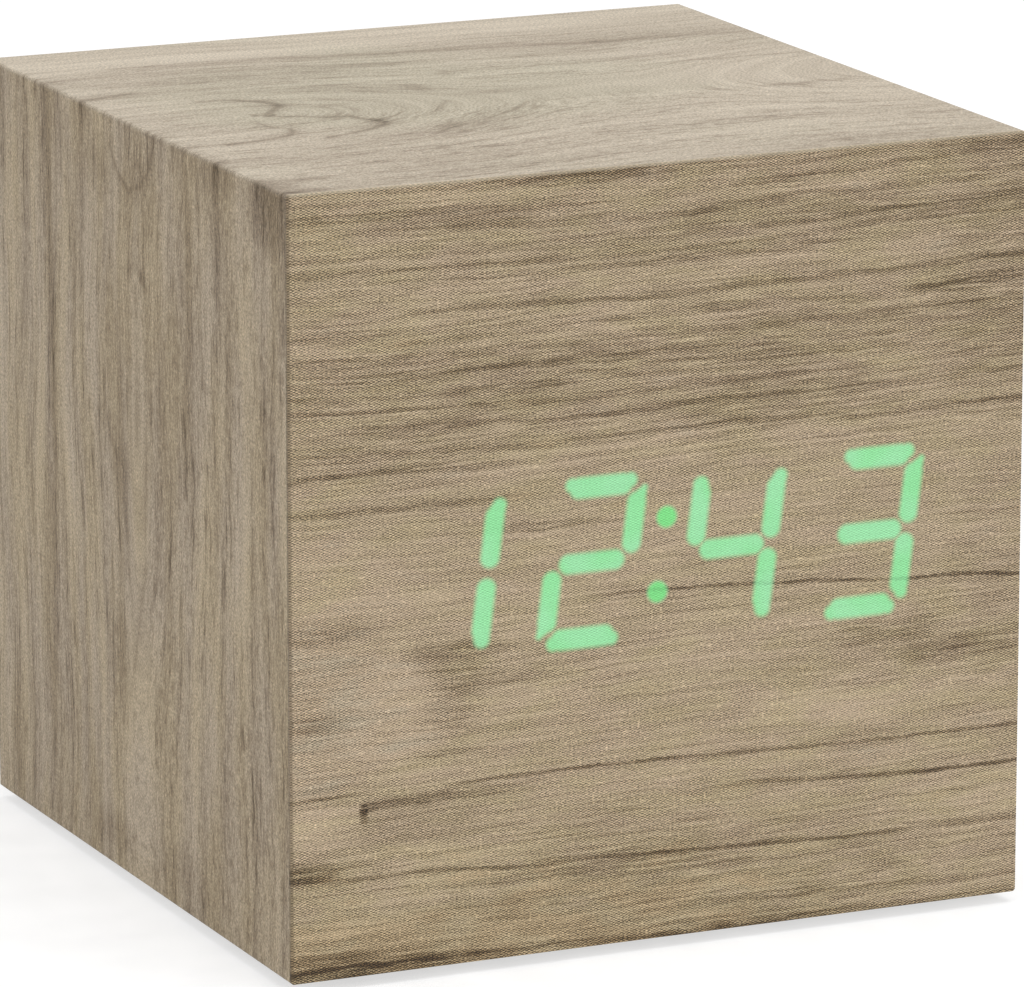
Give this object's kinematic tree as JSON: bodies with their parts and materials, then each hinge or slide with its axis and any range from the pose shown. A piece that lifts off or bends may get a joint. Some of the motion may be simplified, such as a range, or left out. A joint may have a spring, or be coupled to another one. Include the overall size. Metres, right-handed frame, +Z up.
{
  "type": "digital alarm clock",
  "caption": "Cube-shaped wood-faced digital alarm clock whose slanted green numerals shine through the front film, with rear push buttons and a battery door underneath.",
  "frame": {"origin": "on the table under the middle of the clock's footprint", "axes": "+Z up, the display faces -Y, +X to the right as seen from the front"},
  "size_m": [0.068, 0.068, 0.068],
  "materials": {
    "wood_film": "satin wood-print film",
    "front_wood_film": "satin wood-print film with a fine emboss",
    "fibreboard": "raw fibreboard",
    "rubber": "matt",
    "white_plastic": "matt",
    "lit_lens": "glowing green",
    "dark_lens": "milky",
    "led": "clear yellowish resin",
    "circuit_board": "solder mask",
    "steel": "zinc plated",
    "black_screw": "blackened",
    "chip_resin": "matt",
    "ivory_plastic": "matt",
    "ribbon": "satin",
    "black_plastic": "fine texture",
    "button_plastic": "satin",
    "plunger_plastic": "satin",
    "knob_plastic": "satin",
    "switch_metal": "tinned",
    "socket_metal": "nickel plated",
    "can_metal": "bright",
    "sensor_resin": "resin",
    "sleeve": "shrink sleeve",
    "coin_steel": "stainless",
    "cell_jacket": "plain jacket",
    "contact_metal": "nickel plated",
    "red_wire": "insulation",
    "black_wire": "insulation"
  },
  "bodies": {
    "case": {"wrap_film": "wood_film", "rear_panel": "wood_film", "front_film": "front_wood_film", "front_board": "fibreboard", "top_board": "fibreboard", "bottom_board": "fibreboard", "left_board": "fibreboard", "right_board": "fibreboard", "feet": "rubber", "reflector": "white_plastic", "lit_lenses": "lit_lens", "dark_lenses": "dark_lens", "segment_leds": "led", "display_board": "circuit_board", "main_board": "circuit_board", "display_screws": "steel", "board_screws": "steel", "box_screws": "steel", "panel_screws": "black_screw", "driver_chip": "chip_resin", "controller_chip": "chip_resin", "display_header": "ivory_plastic", "main_header": "ivory_plastic", "ribbon_cable": "ribbon", "control_panel": "black_plastic", "battery_box": "black_plastic", "power_socket": "black_plastic", "buzzer": "black_plastic", "coin_holder": "black_plastic", "switch_bodies": "switch_metal", "sound_switch_body": "switch_metal", "socket_pin": "socket_metal", "crystal": "can_metal", "microphone": "can_metal", "temperature_sensor": "sensor_resin", "capacitors": "sleeve", "coin_cell": "coin_steel", "cells": "cell_jacket", "contact_plates": "contact_metal", "contact_springs": "contact_metal", "red_lead": "red_wire", "black_lead": "black_wire"},
    "set_press": {"set_button": "button_plastic", "set_plunger": "plunger_plastic"},
    "up_press": {"up_button": "button_plastic", "up_plunger": "plunger_plastic"},
    "down_press": {"down_button": "button_plastic", "down_plunger": "plunger_plastic"},
    "sound_switch": {"sound_knob": "knob_plastic"},
    "door": {"battery_door": "black_plastic"}
  },
  "joints": [
    {"name": "set_press_travel", "type": "slide", "parent": "case", "child": "set_press", "axis": [0, -1, 0], "range_m": [0, 0.0005], "stiffness_N_per_m": 400},
    {"name": "up_press_travel", "type": "slide", "parent": "case", "child": "up_press", "axis": [0, -1, 0], "range_m": [0, 0.0005], "stiffness_N_per_m": 400},
    {"name": "down_press_travel", "type": "slide", "parent": "case", "child": "down_press", "axis": [0, -1, 0], "range_m": [0, 0.0005], "stiffness_N_per_m": 400},
    {"name": "sound_switch_slide", "type": "slide", "parent": "case", "child": "sound_switch", "axis": [1, 0, 0], "range_m": [0, 0.002]},
    {"name": "door_tilt", "type": "hinge", "parent": "case", "child": "door", "pos_m": [0, -0.01925, 0.0027], "axis": [-1, 0, 0], "range_deg": [0, 85]}
  ]
}
